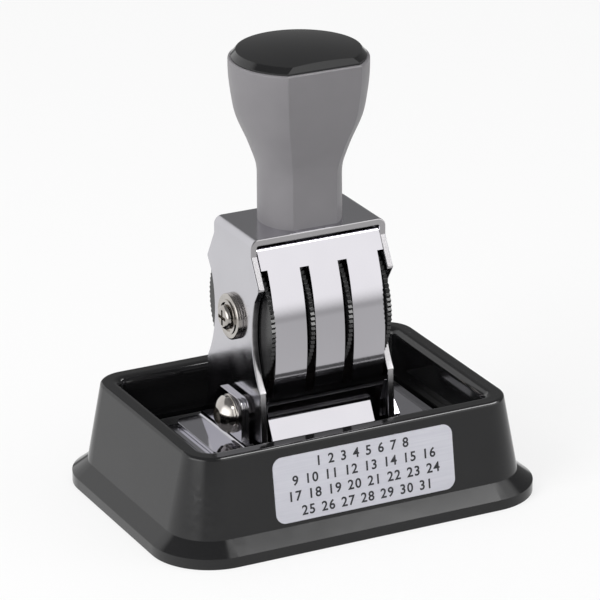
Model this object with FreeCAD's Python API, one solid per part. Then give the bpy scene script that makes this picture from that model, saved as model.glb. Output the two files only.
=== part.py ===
import FreeCAD, Part
import math
import os

# A band date stamp that stands in its ink pad tray. Millimetres, +Z up, front face towards -Y.
# The origin is on the table, under the middle of the tray.

V = FreeCAD.Vector
X_AXIS, Y_AXIS, Z_AXIS = V(1, 0, 0), V(0, 1, 0), V(0, 0, 1)
LEFT, RIGHT = -1, 1
FRONT, REAR = -1, 1
overrun = 5.0
same_place = 1e-6
half_turn = 180
full_turn = 360

# Frame: one sheet bent to an upside-down U round the wheels
frame_width = 42.8
frame_sheet = 2.0
frame_bend = 2.5
least_bend = 0.2
frame_foot_gap = 1.7
room_below_wheels = 12.9
room_above_wheels = 4.0
frame_top_depth = 24.0
frame_shoulder_height = 5.0
lobe_behind_wheel = 3.7
lobe_below_wheel_top = 7.5
lobe_corner = 0.8
step_behind_wheel = 6.6
step_below_wheel_top = 11.9
waist_behind_wheel = 8.4
waist_below_axle = 2.0
knee_behind_wheel = 3.3
knee_above_wheel_foot = 2.5
foot_behind_wheel = 2.5

# Thumb wheels with their band drums
wheel_diameter = 41.0
wheel_thickness = 1.2
wheel_side_clearance = 0.4
inner_wheel_offset = 6.0
tooth_count = 88
tooth_depth = 0.5
drum_below_rim = 5.3
drum_wall = 2.0
drum_web = 1.4
drum_boss = 11.0
drum_gap = 0.3
middle_gap = 0.4
axle_diameter = 6.0
running_fit = 0.05

# Printing bands and the bridge that they turn round
band_clearance = 0.3
band_thickness = 1.0
band_relief = 0.8
band_side_clearance = 0.4
block_count = 12
block_height = 5.0
block_side_margin = 0.7
block_root = 0.9
nose_radius = 3.0
bridge_height = 11.0
lug_thickness = 1.4
lug_depth = 17.0
lug_foot_depth = 13.6
lug_taper = 5.0

# Guards in front of and behind the wheels
guard_sheet = 0.9
guard_curve = 55.0
guard_behind_wheel = 1.2
guard_bulge_below_axle = 5.0
guard_top_gap = 0.9
guard_side_gap = 0.1
guard_bend = 1.3
guard_fold_height = 10.9
guard_throat_height = 5.6
guard_throat_reach = 11.6
guard_throat_round = 2.2
guard_lip_reach = 15.0
guard_lip_gap = 0.9
apron_half_width = 16.4
apron_relief_height = 7.4
apron_relief_corner = 1.6
guard_middle_gap = 0.6
slot_width = 2.9
slot_end_above_axle = 17.2
slot_end_below_axle = 19.6
notch_width = 1.9
notch_above_slots = 0.7
flange_front_inset = 2.4
flange_waist_inset = 4.8
flange_waist_height = 5.4
flange_foot_inset = 5.2
flange_inner_reach = 3.0
flange_clearance = 0.6

# Printing base: rubber die, die plate, bracket and two wings with upright tabs
rest_gap = 0.3
die_thickness = 1.6
die_border = 1.6
die_relief = 0.5
die_plate_depth = 28.0
die_plate_margin = 4.1
die_plate_thickness = 1.0
die_plate_corner = 3.0
base_sheet = 1.2
base_overhang = 0.7
wing_leaf = 8.85
wing_corner = 3.0
tab_height = 13.7
tab_front = 12.0
tab_back_top = 1.6
tab_back_rise = 1.6
tab_corner = 3.0
tab_play = 0.05
slot_clearance = 0.3
adjust_travel = 0.6
window_clearance = 0.6

# Tray: flared foot, leaning wall, flat rim and a deep pocket round the base
pocket_side_gap = 7.15
pocket_front_gap = 16.0
pocket_corner = 3.1
rim_inner_round = 2.3
tray_forward = 0.5
rim_width = 3.4
rim_outer_round = 1.0
rim_solid_depth = 5.0
wall_lean = 4.7
long_wall_relief = 1.0
foot_slope_inset = 4.6
foot_slope_height = 3.5
foot_band_height = 3.15
tray_height = 30.1
tray_skin = 2.2
tray_floor_top = 12.0

# Number label on the leaning front wall
label_width = 57.0
label_height = 19.2
label_thickness = 0.3
label_corner = 3.0
label_margin_below = 1.2
label_offset = 0.9

# Ink pad in its case
case_height = 5.4
case_wall = 2.2
case_floor = 1.2
case_fit = 0.15
well_corner = 1.5
pad_below_case = 0.6
pad_fit = 0.2

# Screws and washers
hole_clearance = 0.2
axle_screw_diameter = 4.0
axle_screw_depth = 9.0
axle_head_diameter = 7.2
axle_head_height = 2.0
axle_head_round = 1.2
axle_washer_diameter = 13.5
axle_washer_thickness = 0.9
washer_edge_round = 0.25
cup_washer_thickness = 1.1
cup_rim_round = 0.8
cup_step_diameter = 10.2
cup_step_height = 0.3
cup_dish_diameter = 8.6
cup_dish_depth = 0.5
cross_width = 1.0
cross_reach = 4.6
cross_depth = 1.2
clamp_screw_diameter = 5.0
clamp_head_diameter = 11.0
clamp_head_height = 3.1
clamp_socket = 4.0
clamp_socket_depth = 1.8
clamp_ring_diameter = 5.8
clamp_ring_depth = 0.5
clamp_forward = 5.5
clamp_above_foot = 6.1
clamp_washer_diameter = 11.4
clamp_washer_thickness = 0.9
spring_washer_diameter = 10.8
spring_washer_thickness = 1.1
spring_washer_slit = 0.8
spacer_diameter = 9.0
spacer_thickness = 1.0

# Handle, its cap and the bolt that holds it
handle_height = 48.0
handle_top_radius = 20.0
handle_neck_radius = 12.1
handle_flat_share = 0.82
handle_height_shares = (0, 0.11, 0.23, 0.34, 0.43, 0.50, 0.56, 0.62, 0.68, 0.75, 0.86, 1)
handle_flare_shares = (0, 0, 0, 0.03, 0.20, 0.36, 0.52, 0.68, 0.80, 0.88, 0.97, 1)
handle_lip_round = 0.5
handle_bore_radius = 7.0
handle_bore_depth = 26.0
cap_inset = 0.8
cap_recess = 1.0
cap_edge_height = 0.5
cap_bevel_height = 1.6
cap_bevel_inset = 1.4
cap_crown_height = 1.4
cap_front_bevel = 0.5
cap_plug_fit = 0.2
cap_plug_depth = 6.0
insert_diameter = 9.0
insert_length = 12.0
bolt_diameter = 5.0
bolt_head_width = 8.0
bolt_head_height = 3.3
bolt_engagement = 10.0
clamp_plate_width = 9.2
clamp_plate_depth = 14.0
clamp_plate_thickness = 1.0
spacer_plate_width = 16.0

# Heights that follow from the sizes above
wheel_radius = wheel_diameter / 2
pad_top = tray_floor_top + case_height - pad_below_case
die_face_z = pad_top + rest_gap
die_plate_z = die_face_z + die_thickness
base_z = die_plate_z + die_plate_thickness
base_top = base_z + base_sheet
frame_foot = base_top + frame_foot_gap
axle_z = frame_foot + room_below_wheels + wheel_radius
frame_under = axle_z + wheel_radius + room_above_wheels
frame_top = frame_under + frame_sheet
clamp_z = frame_foot + clamp_above_foot
handle_top = frame_top + handle_height
nose_z = die_face_z + band_relief + band_thickness + nose_radius

# Places across the width that follow from the sizes above
frame_side = frame_width / 2
frame_inside = frame_side - frame_sheet
guard_side = frame_inside - guard_side_gap
lug_outside = guard_side - guard_sheet
lug_inside = lug_outside - lug_thickness
outer_wheel_offset = frame_inside - wheel_side_clearance - wheel_thickness / 2
band_outer_edge = lug_inside - band_side_clearance
drum_inner_end = inner_wheel_offset + wheel_thickness / 2 + drum_gap
band_inner_edge = drum_inner_end + band_side_clearance
digit_outer_edge = inner_wheel_offset - wheel_thickness / 2 - band_side_clearance
digit_inner_edge = middle_gap / 2 + band_side_clearance / 2
spacer_out = frame_side + spacer_thickness
bracket_side = spacer_out + tab_play + base_sheet
tab_outside = bracket_side + base_sheet
wing_reach = tab_outside + wing_leaf
die_plate_width = 2 * (wing_reach + die_plate_margin)
base_depth = die_plate_depth + 2 * base_overhang

# Depths and radii that follow from the sizes above
drum_radius = wheel_radius - drum_below_rim
band_radius = drum_radius + band_clearance
guard_reach = wheel_radius - guard_behind_wheel
pocket_length = die_plate_width + 2 * pocket_side_gap
pocket_depth = die_plate_depth + 2 * pocket_front_gap
pocket_to_rim = rim_inner_round + rim_width
pocket_to_slope = pocket_to_rim + wall_lean
pocket_to_foot = pocket_to_slope + foot_slope_inset
slope_top = foot_band_height + foot_slope_height


def save(name, solids):
    """Writes one piece, or one group of separate solids, to its own file."""
    shape = solids[0] if len(solids) == 1 else Part.makeCompound(solids)
    shape.exportStep("parts/" + name + ".step")


def box(x0, x1, y0, y1, z0, z1):
    """A block between two corners."""
    return Part.makeBox(x1 - x0, y1 - y0, z1 - z0, V(x0, y0, z0))


def rod(radius, length, start, axis):
    """A round bar from a start point along an axis."""
    return Part.makeCylinder(radius, length, start, axis)


def side_rod(radius, x0, x1, y, z):
    """A round bar that lies across the stamp, from x0 to x1."""
    return rod(radius, x1 - x0, V(x0, y, z), X_AXIS)


def mirrored(shape):
    """The same piece on the other side of the stamp."""
    return shape.mirror(V(0, 0, 0), X_AXIS)


def half_turned(shape):
    """The same piece turned half round about the upright middle."""
    turned = shape.copy()
    turned.rotate(V(0, 0, 0), Z_AXIS, half_turn)
    return turned


def rounded_wire(half_x, half_y, radius, z):
    """A level rectangle with round corners, as one closed wire."""
    def on_corner(quarter, share):
        side_x, side_y = ((1, 1), (-1, 1), (-1, -1), (1, -1))[quarter]
        turn = math.pi / 2 * (quarter + share)
        return V(side_x * (half_x - radius) + radius * math.cos(turn),
                 side_y * (half_y - radius) + radius * math.sin(turn), z)

    edges = []
    for quarter in range(4):
        start, end = on_corner(quarter, 0), on_corner(quarter, 1)
        edges.append(Part.Arc(start, on_corner(quarter, 1 / 2), end).toShape())
        edges.append(Part.LineSegment(end, on_corner((quarter + 1) % 4, 0)).toShape())
    return Part.Wire(edges)


def rounded_stack(levels):
    """A solid through several level outlines: (half_x, half_y, radius, z) each."""
    pieces = []
    for low, high in zip(levels, levels[1:]):
        pieces.append(Part.makeLoft([rounded_wire(*low), rounded_wire(*high)], True, True))
    return pieces[0].multiFuse(pieces[1:]).removeSplitter() if len(pieces) > 1 else pieces[0]


def rounded_plate(half_x, half_y, radius, z0, z1):
    """A flat plate with round corners."""
    return Part.Face(rounded_wire(half_x, half_y, radius, z0)).extrude(V(0, 0, z1 - z0))


def side_profile(points, x0, x1):
    """A straight-edged outline in the Y-Z plane, made solid from x0 to x1."""
    path = [V(x0, y, z) for y, z in points]
    return Part.Face(Part.makePolygon(path + path[:1])).extrude(V(x1 - x0, 0, 0))


def straight_edges(shape, axis, chosen):
    """The straight edges along an axis whose middle passes the test."""
    found = []
    for edge in shape.Edges:
        if isinstance(edge.Curve, Part.Line):
            way = edge.Vertexes[-1].Point - edge.Vertexes[0].Point
            way.normalize()
            if abs(abs(way.dot(axis)) - 1) < same_place and chosen(edge.CenterOfMass):
                found.append(edge)
    return found


def round_pocket(offset):
    """Half sizes and corner radius of the tray's pocket, drawn outwards by an offset."""
    return pocket_length / 2 + offset, pocket_depth / 2 + offset, max(pocket_corner + offset, well_corner)


def level_edges(shape, z, half_x, half_y):
    """The edges at one height that lie within a rectangle round the middle."""
    found = []
    for edge in shape.Edges:
        points = [v.Point for v in edge.Vertexes]
        if all(abs(p.z - z) < same_place and abs(p.x) < half_x and abs(p.y) < half_y for p in points):
            found.append(edge)
    return found


def round_foot(offset):
    """The same below the walls, where the two long sides stand a little further in."""
    half_x, half_y, corner = round_pocket(offset)
    return half_x, half_y - long_wall_relief, corner


def tray_form(skin, foot_z, top_z):
    """The tray's outer form: foot band, slope and leaning wall, drawn in by a skin."""
    return rounded_stack([(*round_foot(pocket_to_foot - skin), foot_z),
                          (*round_foot(pocket_to_foot - skin), foot_band_height),
                          (*round_foot(pocket_to_slope - skin), slope_top),
                          (*round_pocket(pocket_to_rim - skin), top_z)])


def moved_forward(shape):
    """A piece of the tray, moved a little to the front of the stamp's middle."""
    shape.translate(V(0, -tray_forward, 0))
    return shape


def tray_shell():
    """The moulded tray: outer form, pocket and the hollow under it."""
    shell = tray_form(0, 0, tray_height)
    far = pocket_length + pocket_depth
    shell = shell.makeFillet(rim_outer_round, level_edges(shell, tray_height, far, far))
    under = tray_form(tray_skin, -overrun, tray_height - rim_solid_depth)
    kept = rounded_plate(*round_pocket(tray_skin), tray_floor_top - tray_skin, tray_height)
    pocket = rounded_plate(*round_pocket(0), tray_floor_top, tray_height + overrun)
    shell = shell.cut(under.cut(kept)).cut(pocket)
    half_x, half_y = round_pocket(same_place)[:2]
    return moved_forward(shell.makeFillet(rim_inner_round, level_edges(shell, tray_height, half_x, half_y)))


def pad_case():
    """The shallow case that holds the pad on the tray's floor."""
    top = tray_floor_top + case_height
    outer = rounded_plate(*round_pocket(-case_fit), tray_floor_top, top)
    well = rounded_plate(*round_pocket(-case_fit - case_wall), tray_floor_top + case_floor, top + overrun)
    return moved_forward(outer.cut(well))


def ink_pad():
    """The felt pad, a little lower than its case."""
    half_x, half_y, corner = round_pocket(-case_fit - case_wall - pad_fit)
    return moved_forward(rounded_plate(half_x, half_y, corner, tray_floor_top + case_floor, pad_top))


def number_label():
    """A thin plate on the leaning front wall."""
    lean = math.atan2(wall_lean - long_wall_relief, tray_height - slope_top)
    plate = rounded_plate(label_width / 2, label_height / 2, label_corner, 0, label_thickness)
    plate.rotate(V(0, 0, 0), X_AXIS, math.degrees(math.pi / 2 - lean))
    wall_foot_y = long_wall_relief - (pocket_depth / 2 + pocket_to_slope + tray_forward)
    rise = label_margin_below + math.cos(lean) * label_height / 2
    plate.translate(V(label_offset, wall_foot_y + rise * math.tan(lean), slope_top + rise))
    return plate


def window(z0, z1):
    """The opening in the base that the bands print through."""
    half_y = nose_radius + band_thickness + band_relief + window_clearance
    half_x = band_outer_edge + window_clearance
    return box(-half_x, half_x, -half_y, half_y, z0, z1)


def text_die():
    """The rubber die, with a raised border round its face and round the window."""
    half_x, half_y = die_plate_width / 2, die_plate_depth / 2
    sheet = rounded_plate(half_x, half_y, die_plate_corner, die_face_z + die_relief, die_plate_z)
    border = rounded_plate(half_x - die_border, half_y - die_border, die_border, die_face_z, die_plate_z)
    border = border.cut(rounded_plate(half_x - 2 * die_border, half_y - 2 * die_border, die_relief,
                                      die_face_z - overrun, die_face_z + die_relief))
    return sheet.fuse(border).cut(window(die_face_z - overrun, die_plate_z + overrun)).removeSplitter()


def die_plate():
    """The flat plate that carries the rubber die."""
    plate = rounded_plate(die_plate_width / 2, die_plate_depth / 2, die_plate_corner, die_plate_z, base_z)
    return plate.cut(window(die_plate_z - overrun, base_z + overrun))


def tab_outline(x0, x1):
    """The left upright tab seen from the side, with the height slot for its clamp screw."""
    top = base_top + tab_height
    rear = base_depth / 2
    outline = side_profile([(-tab_front, base_z), (-tab_front, top), (tab_back_top, top),
                            (rear, base_top + tab_back_rise), (rear, base_z)], x0, x1)
    rounds = straight_edges(outline, X_AXIS, lambda p: abs(p.z - top) < same_place and p.y < 0)
    outline = outline.makeFillet(tab_corner, rounds)
    radius = clamp_screw_diameter / 2 + slot_clearance
    low_z = clamp_z - adjust_travel
    start, end = x0 - overrun, x1 + overrun
    low = side_rod(radius, start, end, -clamp_forward, low_z)
    high = side_rod(radius, start, end, -clamp_forward, clamp_z)
    between = box(start, end, -clamp_forward - radius, -clamp_forward + radius, low_z, clamp_z)
    return outline.cut(low).cut(high).cut(between)


def base_bracket():
    """The U-bent sheet of the base: a level leaf between a left tab and a right tab."""
    half_y = base_depth / 2
    top, leaf_top = base_top + tab_height, base_top + base_sheet
    body = box(-bracket_side, bracket_side, -half_y, half_y, base_z, top)
    heels = straight_edges(body, Y_AXIS, lambda p: abs(p.z - base_z) < same_place)
    body = body.makeFillet(2 * base_sheet, heels)
    inside = bracket_side - base_sheet
    hollow = box(-inside, inside, -half_y - overrun, half_y + overrun, base_top, top + overrun)
    bends = straight_edges(hollow, Y_AXIS, lambda p: abs(p.z - base_top) < same_place)
    sheet = body.cut(hollow.makeFillet(base_sheet, bends))
    leaf = sheet.common(box(-bracket_side, bracket_side, -half_y, half_y, base_z, leaf_top))
    upright = sheet.cut(box(-bracket_side, bracket_side, -half_y, half_y, base_z, leaf_top))
    tab = upright.common(tab_outline(-bracket_side, 0))
    bracket = leaf.fuse(tab).fuse(half_turned(tab)).removeSplitter()
    return bracket.cut(window(base_z - overrun, base_top + overrun))


def wing():
    """The left wing: a level leaf outside the tab, bent up against the bracket's tab."""
    half_y = base_depth / 2
    top, leaf_top = base_top + tab_height, base_top + base_sheet
    body = box(-wing_reach, -bracket_side, -half_y, half_y, base_z, top)
    heel = straight_edges(body, Y_AXIS, lambda p: abs(p.z - base_z) + abs(p.x + bracket_side) < same_place)
    body = body.makeFillet(2 * base_sheet, heel)
    space = box(-wing_reach - overrun, -tab_outside, -half_y - overrun, half_y + overrun,
                base_top, top + overrun)
    bend = straight_edges(space, Y_AXIS, lambda p: abs(p.z - base_top) + abs(p.x + tab_outside) < same_place)
    sheet = body.cut(space.makeFillet(base_sheet, bend))
    leaf = sheet.common(box(-wing_reach, -bracket_side, -half_y, half_y, base_z, leaf_top))
    ends = straight_edges(leaf, Z_AXIS, lambda p: abs(p.x + wing_reach) < same_place)
    leaf = leaf.makeFillet(wing_corner, ends)
    tab = sheet.common(box(-wing_reach, -bracket_side, -half_y, half_y, leaf_top, top))
    return leaf.fuse(tab.common(tab_outline(-wing_reach, -bracket_side))).removeSplitter()


def clamp_bores(radius, start, end):
    """Holes for the two clamp screws: forward in the left side, backward in the right side."""
    bore = side_rod(radius, start, end, clamp_forward, clamp_z)
    return bore.fuse(half_turned(bore))


def side_half(sign):
    """The side plate's edge from its top to its foot, at the front or at the rear."""
    def place(depth, z):
        return V(-frame_side, sign * depth, z)

    crown = place(frame_top_depth / 2, frame_top)
    shoulder = place(frame_top_depth / 2, frame_top - frame_shoulder_height)
    lobe = place(wheel_radius - lobe_behind_wheel, axle_z + wheel_radius - lobe_below_wheel_top)
    step = place(wheel_radius - step_behind_wheel, axle_z + wheel_radius - step_below_wheel_top)
    waist = place(wheel_radius - waist_behind_wheel, axle_z - waist_below_axle)
    knee = place(wheel_radius - knee_behind_wheel, axle_z - wheel_radius + knee_above_wheel_foot)
    foot = place(wheel_radius - foot_behind_wheel, frame_foot)
    edges = [Part.LineSegment(crown, shoulder).toShape(), Part.LineSegment(shoulder, lobe).toShape(),
             Part.LineSegment(lobe, step).toShape(), Part.Arc(step, waist, knee).toShape(),
             Part.LineSegment(knee, foot).toShape()]
    return edges, crown, foot


def side_outline():
    """The side plate's outline, as a solid across the frame's whole width."""
    front, front_crown, front_foot = side_half(FRONT)
    rear, rear_crown, rear_foot = side_half(REAR)
    closing = [Part.LineSegment(front_foot, rear_foot).toShape(),
               Part.LineSegment(rear_crown, front_crown).toShape()]
    wire = Part.Wire(Part.__sortEdges__(front + rear + closing))
    outline = Part.Face(wire).extrude(V(frame_width, 0, 0))
    lobe_z = axle_z + wheel_radius - lobe_below_wheel_top
    lobes = straight_edges(outline, X_AXIS, lambda p: abs(p.z - lobe_z) < same_place)
    return outline.makeFillet(lobe_corner, lobes)


def bolt_bore(start_z, length):
    """The clearance hole for the handle's bolt."""
    return rod(bolt_diameter / 2 + hole_clearance, length, V(0, 0, start_z), Z_AXIS)


def frame_yoke():
    """The bent sheet frame with its screw and bolt holes."""
    half_y = wheel_diameter
    body = box(-frame_side, frame_side, -half_y, half_y, frame_foot, frame_top)
    bends = straight_edges(body, Y_AXIS, lambda p: abs(p.z - frame_top) < same_place)
    body = body.makeFillet(frame_bend, bends)
    inside = box(-frame_inside, frame_inside, -half_y - overrun, half_y + overrun,
                 frame_foot - overrun, frame_under)
    bends = straight_edges(inside, Y_AXIS, lambda p: abs(p.z - frame_under) < same_place)
    inside = inside.makeFillet(max(frame_bend - frame_sheet, least_bend), bends)
    yoke = body.cut(inside).common(side_outline())
    across = frame_side + overrun
    yoke = yoke.cut(side_rod(axle_screw_diameter / 2 + hole_clearance, -across, across, 0, axle_z))
    yoke = yoke.cut(clamp_bores(clamp_screw_diameter / 2 + hole_clearance, frame_inside - overrun, across))
    return yoke.cut(bolt_bore(frame_under, frame_sheet))


def toothed_disc(x0, x1):
    """The thin wheel with a pointed tooth all round its rim."""
    outer, root = wheel_radius, wheel_radius - tooth_depth
    points = []
    for i in range(2 * tooth_count):
        radius = outer if i % 2 == 0 else root
        turn = math.pi * i / tooth_count
        points.append((radius * math.cos(turn), axle_z + radius * math.sin(turn)))
    return side_profile(points, x0, x1)


def thumb_wheel(disc_x, drum_end):
    """One wheel on the right-hand side: toothed disc and the open drum that its band runs on."""
    half = wheel_thickness / 2
    inward = -1 if drum_end < disc_x else 1
    face = disc_x + inward * half
    low, high = min(face, drum_end), max(face, drum_end)
    drum = side_rod(drum_radius, low, high, 0, axle_z)
    hollow_low = low if inward < 0 else low + drum_web
    hollow_high = high - drum_web if inward < 0 else high
    hollow = side_rod(drum_radius - drum_wall, hollow_low, hollow_high, 0, axle_z)
    hollow = hollow.cut(side_rod(drum_boss / 2, hollow_low, hollow_high, 0, axle_z))
    wheel = toothed_disc(disc_x - half, disc_x + half).fuse(drum.cut(hollow))
    bore = side_rod(axle_diameter / 2 + running_fit, min(low, disc_x - half) - overrun,
                    max(high, disc_x + half) + overrun, 0, axle_z)
    return wheel.cut(bore).removeSplitter()


def band_geometry(offset):
    """Radii and tangent angle of the band's path, at an offset from its inside."""
    top, bottom = band_radius + offset, nose_radius + offset
    return top, bottom, math.asin((top - bottom) / (axle_z - nose_z))


def band_face(offset, x):
    """The closed outline of the band round the drum and the nose of the bridge."""
    top, bottom, tilt = band_geometry(offset)
    c, s = math.cos(tilt), math.sin(tilt)
    top_front, top_rear = V(x, -top * c, axle_z - top * s), V(x, top * c, axle_z - top * s)
    low_front, low_rear = V(x, -bottom * c, nose_z - bottom * s), V(x, bottom * c, nose_z - bottom * s)
    edges = [Part.Arc(top_front, V(x, 0, axle_z + top), top_rear).toShape(),
             Part.LineSegment(top_rear, low_rear).toShape(),
             Part.Arc(low_rear, V(x, 0, nose_z - bottom), low_front).toShape(),
             Part.LineSegment(low_front, top_front).toShape()]
    return Part.Face(Part.Wire(edges))


def band_place(distance):
    """Point and outward angle on the band's outside, at a distance from the bottom, going to the rear."""
    top, bottom, tilt = band_geometry(band_thickness)
    nose_arc = bottom * (math.pi / 2 - tilt)
    straight = (axle_z - nose_z) * math.cos(tilt)
    drum_arc = top * (math.pi + 2 * tilt)
    total = 2 * nose_arc + 2 * straight + drum_arc
    s = distance * total
    if s > total / 2:
        y, z, angle = band_place((total - s) / total)
        return -y, z, math.pi - angle
    if s < nose_arc:
        angle = -math.pi / 2 + s / bottom
        return bottom * math.cos(angle), nose_z + bottom * math.sin(angle), angle
    if s < nose_arc + straight:
        along = s - nose_arc
        c, t = math.cos(tilt), math.sin(tilt)
        return bottom * c + along * t, nose_z - bottom * t + along * c, -tilt
    angle = -tilt + (s - nose_arc - straight) / top
    return top * math.cos(angle), axle_z + top * math.sin(angle), angle


def print_band(x0, x1):
    """One rubber band with raised printing blocks all round it."""
    band = band_face(band_thickness, x0).extrude(V(x1 - x0, 0, 0))
    band = band.cut(band_face(0, x0 - overrun).extrude(V(x1 - x0 + 2 * overrun, 0, 0)))
    blocks = []
    for i in range(block_count):
        y, z, angle = band_place(i / block_count)
        block = box(x0 + block_side_margin, x1 - block_side_margin, -block_root, band_relief,
                    -block_height / 2, block_height / 2)
        block.rotate(V(0, 0, 0), X_AXIS, math.degrees(angle))
        block.translate(V(0, y, z))
        blocks.append(block)
    return band.multiFuse(blocks)


def band_bridge():
    """The bar whose round nose turns the bands, with a threaded lug at each end."""
    top = nose_z + bridge_height
    bar = box(-lug_outside, lug_outside, -nose_radius, nose_radius, frame_foot, top)
    nose = box(-band_outer_edge, band_outer_edge, -nose_radius, nose_radius, nose_z, frame_foot)
    nose = nose.fuse(side_rod(nose_radius, -band_outer_edge, band_outer_edge, 0, nose_z))
    foot, wide = lug_foot_depth / 2, lug_depth / 2
    lug = side_profile([(-foot, frame_foot), (foot, frame_foot), (wide, frame_foot + lug_taper),
                        (wide, top), (-wide, top), (-wide, frame_foot + lug_taper)], lug_inside, lug_outside)
    bridge = bar.fuse(nose).fuse(lug).fuse(mirrored(lug)).removeSplitter()
    return bridge.cut(clamp_bores(clamp_screw_diameter / 2, lug_inside, lug_outside + overrun))


def lines_meet(a, way_a, b, way_b):
    """Where two lines of the Y-Z plane meet, each given by a point and a direction."""
    across = way_a[0] * way_b[1] - way_a[1] * way_b[0]
    along = ((b[0] - a[0]) * way_b[1] - (b[1] - a[1]) * way_b[0]) / across
    return a[0] + along * way_a[0], a[1] + along * way_a[1]


def line_meets_circle(a, way, centre, radius):
    """The point of a circle in the Y-Z plane that lies on a line, nearest to the line's own point."""
    dy, dz = a[0] - centre[0], a[1] - centre[1]
    towards = dy * way[0] + dz * way[1]
    half_chord = math.sqrt(towards ** 2 - dy ** 2 - dz ** 2 + radius ** 2)
    along = min((-towards + half_chord, -towards - half_chord), key=abs)
    return a[0] + along * way[0], a[1] + along * way[1]


def sheet_back(a, b):
    """The guard's rear face behind the front face from a down to b: a point and a direction."""
    length = math.hypot(b[0] - a[0], b[1] - a[1])
    way = ((b[0] - a[0]) / length, (b[1] - a[1]) / length)
    return (a[0] - way[1] * guard_sheet, a[1] + way[0] * guard_sheet), way


def bulge_centre():
    """The middle of the guard's bulge, seen from the side."""
    return guard_curve - guard_reach, axle_z - guard_bulge_below_axle


def bulge_point(radius, z):
    """A point of the guard's bulge at one height."""
    centre = bulge_centre()
    return centre[0] - math.sqrt(radius ** 2 - (z - centre[1]) ** 2), z


def guard_front():
    """Corners of the guard's front face: crown, fold under the bulge, throat and lip."""
    crown = bulge_point(guard_curve, frame_under - guard_top_gap)
    fold = bulge_point(guard_curve, frame_foot + guard_fold_height)
    throat = (-guard_throat_reach, frame_foot + guard_throat_height)
    return crown, fold, throat, (-guard_lip_reach, base_top + guard_lip_gap)


def guard_back():
    """Corners of the guard's rear face, one sheet behind the front face."""
    crown, fold, throat, lip = guard_front()
    inner_curve = guard_curve - guard_sheet
    slope, slope_way = sheet_back(fold, throat)
    apron, apron_way = sheet_back(throat, lip)
    return (bulge_point(inner_curve, crown[1] - guard_sheet),
            line_meets_circle(slope, slope_way, bulge_centre(), inner_curve),
            lines_meet(slope, slope_way, apron, apron_way), lines_meet(apron, apron_way, lip, (1, 0)))


def guard_section(x):
    """The guard's bent sheet seen from the side: top flange, bulge, slope under it and flared apron."""
    def line(a, b):
        return Part.LineSegment(V(x, *a), V(x, *b)).toShape()

    crown, fold, throat, lip = guard_front()
    inner_crown, inner_fold, inner_throat, inner_lip = guard_back()
    end, inner_end = (-guard_middle_gap / 2, crown[1]), (-guard_middle_gap / 2, inner_crown[1])
    centre_z = bulge_centre()[1]
    middle, inner_middle = (-guard_reach, centre_z), (guard_sheet - guard_reach, centre_z)
    edges = [Part.Arc(V(x, *crown), V(x, *middle), V(x, *fold)).toShape()]
    edges += [line(fold, throat), line(throat, lip), line(lip, inner_lip),
              line(inner_lip, inner_throat), line(inner_throat, inner_fold)]
    edges += [Part.Arc(V(x, *inner_fold), V(x, *inner_middle), V(x, *inner_crown)).toShape()]
    edges += [line(inner_crown, inner_end), line(inner_end, end), line(end, crown)]
    return Part.Face(Part.Wire(edges))


def rounded_bend(sheet, outside, inside, radius):
    """The sheet with one bend made round, with one middle for its outer and its inner face."""
    for place, bend in ((outside, radius), (inside, max(radius - guard_sheet, least_bend))):
        y, z = place
        edges = straight_edges(sheet, X_AXIS, lambda p: math.hypot(p.y - y, p.z - z) < same_place)
        sheet = sheet.makeFillet(bend, edges)
    return sheet


def apron_relief(side):
    """What is cut away between the apron and one side flange."""
    edge, past = side * apron_half_width, side * (guard_side + overrun)
    top = frame_foot + apron_relief_height
    cutter = box(min(edge, past), max(edge, past), -guard_reach - overrun, 0, base_top, top)
    corner = straight_edges(cutter, Y_AXIS, lambda p: abs(p.z - top) + abs(p.x - edge) < same_place)
    return cutter.makeFillet(apron_relief_corner, corner)


def guard():
    """The front guard: bent sheet with two wheel slots, two side notches, apron and two side flanges."""
    sheet = guard_section(-guard_side).extrude(V(2 * guard_side, 0, 0))
    crown, fold, throat, lip = guard_front()
    inner_crown, inner_fold, inner_throat, inner_lip = guard_back()
    sheet = rounded_bend(sheet, crown, inner_crown, guard_bend)
    sheet = rounded_bend(sheet, fold, inner_fold, guard_bend)
    sheet = rounded_bend(sheet, inner_throat, throat, guard_throat_round + guard_sheet)
    low, high = axle_z - slot_end_below_axle, axle_z + slot_end_above_axle
    reach = guard_reach + overrun
    for offset in (-inner_wheel_offset, inner_wheel_offset):
        sheet = sheet.cut(box(offset - slot_width / 2, offset + slot_width / 2, -reach, 0, low, high))
    for side in (LEFT, RIGHT):
        edge, past = side * (guard_side - notch_width), side * (guard_side + overrun)
        sheet = sheet.cut(box(min(edge, past), max(edge, past), -reach, 0, low, high + notch_above_slots))
        sheet = sheet.cut(apron_relief(side))
    flange_top = axle_z - wheel_radius - flange_clearance
    flange = side_profile([(flange_front_inset - guard_reach, flange_top),
                           (flange_waist_inset - guard_reach, frame_foot + flange_waist_height),
                           (flange_foot_inset - guard_reach, frame_foot),
                           (-flange_inner_reach, frame_foot), (-flange_inner_reach, flange_top)],
                          lug_outside, guard_side)
    sheet = sheet.fuse(flange).fuse(mirrored(flange)).removeSplitter()
    sheet = sheet.cut(bolt_bore(frame_under - overrun, overrun))
    return sheet.cut(clamp_bores(clamp_screw_diameter / 2 + hole_clearance, lug_inside, frame_side))


def wheel_axle():
    """The steel axle between the side plates, drilled and tapped at both ends."""
    axle = side_rod(axle_diameter / 2, -frame_inside, frame_inside, 0, axle_z)
    for side in (LEFT, RIGHT):
        end = side * frame_inside
        inner = side * (frame_side - axle_screw_depth)
        axle = axle.cut(side_rod(axle_screw_diameter / 2, min(end, inner), max(end, inner), 0, axle_z))
    return axle


def both_sides(shape):
    """A right-hand fastener and its mirror image."""
    return [shape, mirrored(shape)]


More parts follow.
